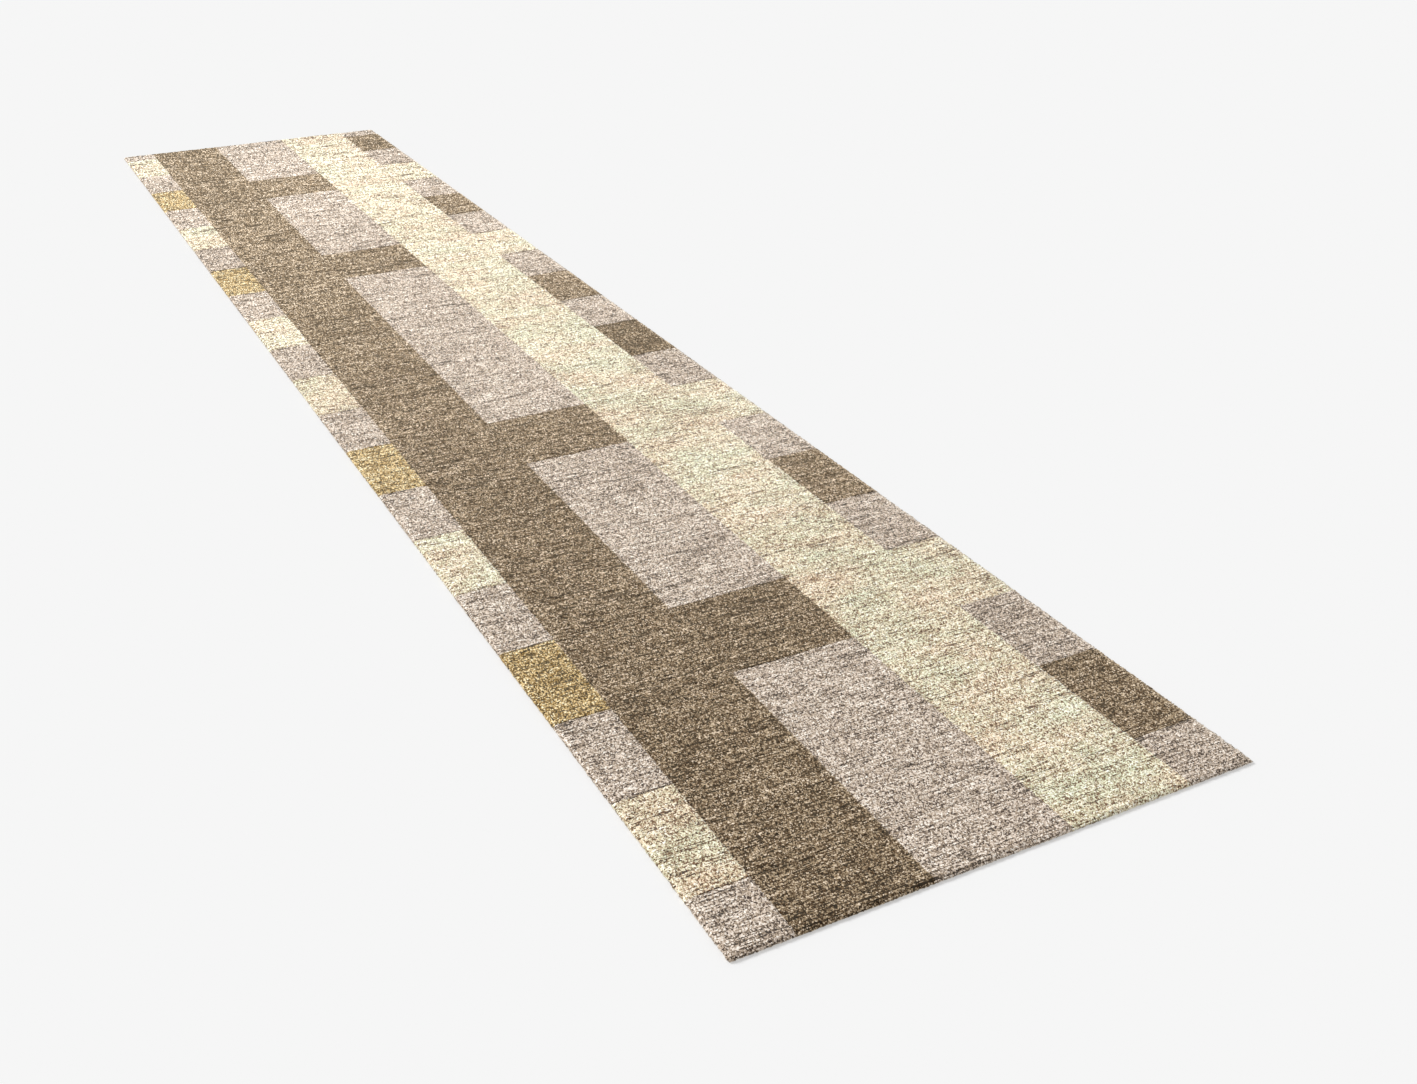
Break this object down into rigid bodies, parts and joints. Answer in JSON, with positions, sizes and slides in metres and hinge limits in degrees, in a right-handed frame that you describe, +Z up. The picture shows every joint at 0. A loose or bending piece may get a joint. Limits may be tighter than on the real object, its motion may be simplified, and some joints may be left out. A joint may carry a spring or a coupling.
{
  "type": "runner rug",
  "caption": "Long narrow wool runner rug with a cut pile in square-edged blocks of brown, cream, greige and gold, on a cotton ground cloth, latex and backing cloth.",
  "frame": {"origin": "centre of the underside, on the floor", "axes": "+Y along the rug's length, from the front end to the back end; +X across its width; +Z up out of the pile"},
  "size_m": [0.8, 4, 0.0085],
  "materials": {
    "pile_greige": "cut wool pile, greige, flecked, with faint weft rows",
    "pile_brown": "cut wool pile, warm brown, flecked, with darker row streaks",
    "pile_cream": "cut wool pile, cream, a mottle of pinkish and greenish yarn",
    "pile_gold": "cut wool pile, old gold, flecked",
    "ground_cotton": "plain-woven unbleached cotton",
    "latex": "dull, slightly uneven latex coat",
    "backing_cotton": "plain-woven unbleached cotton canvas",
    "cotton_tape": "herringbone cotton tape, sewn along both edges"
  },
  "bodies": {
    "root": {"back_tape": "cotton_tape", "backing_cloth": "backing_cotton", "brown_arm_1": "pile_brown", "brown_arm_2": "pile_brown", "brown_arm_3": "pile_brown", "brown_arm_4": "pile_brown", "brown_band": "pile_brown", "cream_arm_1": "pile_cream", "cream_arm_2": "pile_cream", "cream_arm_3": "pile_cream", "cream_arm_4": "pile_cream", "cream_band": "pile_cream", "front_tape": "cotton_tape", "ground_cloth": "ground_cotton", "latex_coat": "latex", "left_block_01_greige": "pile_greige", "left_block_02_cream": "pile_cream", "left_block_03_greige": "pile_greige", "left_block_04_gold": "pile_gold", "left_block_05_greige": "pile_greige", "left_block_06_cream": "pile_cream", "left_block_07_greige": "pile_greige", "left_block_08_gold": "pile_gold", "left_block_09_greige": "pile_greige", "left_block_10_cream": "pile_cream", "left_block_11_greige": "pile_greige", "left_block_12_cream": "pile_cream", "left_block_13_greige": "pile_greige", "left_block_14_gold": "pile_gold", "left_block_15_greige": "pile_greige", "left_block_16_cream": "pile_cream", "left_block_17_greige": "pile_greige", "left_block_18_gold": "pile_gold", "left_block_19_greige": "pile_greige", "left_block_20_cream": "pile_cream", "left_block_21_greige": "pile_greige", "left_tape": "cotton_tape", "middle_field_1_greige": "pile_greige", "middle_field_2_greige": "pile_greige", "middle_field_3_greige": "pile_greige", "middle_field_4_greige": "pile_greige", "middle_field_5_greige": "pile_greige", "right_block_01_greige": "pile_greige", "right_block_02_brown": "pile_brown", "right_block_03_greige": "pile_greige", "right_block_05_greige": "pile_greige", "right_block_06_brown": "pile_brown", "right_block_07_greige": "pile_greige", "right_block_09_greige": "pile_greige", "right_block_10_brown": "pile_brown", "right_block_11_greige": "pile_greige", "right_block_12_brown": "pile_brown", "right_block_13_greige": "pile_greige", "right_block_15_greige": "pile_greige", "right_block_16_brown": "pile_brown", "right_block_17_greige": "pile_greige", "right_block_19_greige": "pile_greige", "right_block_20_brown": "pile_brown", "right_block_21_greige": "pile_greige", "right_tape": "cotton_tape"}
  },
  "joints": []
}
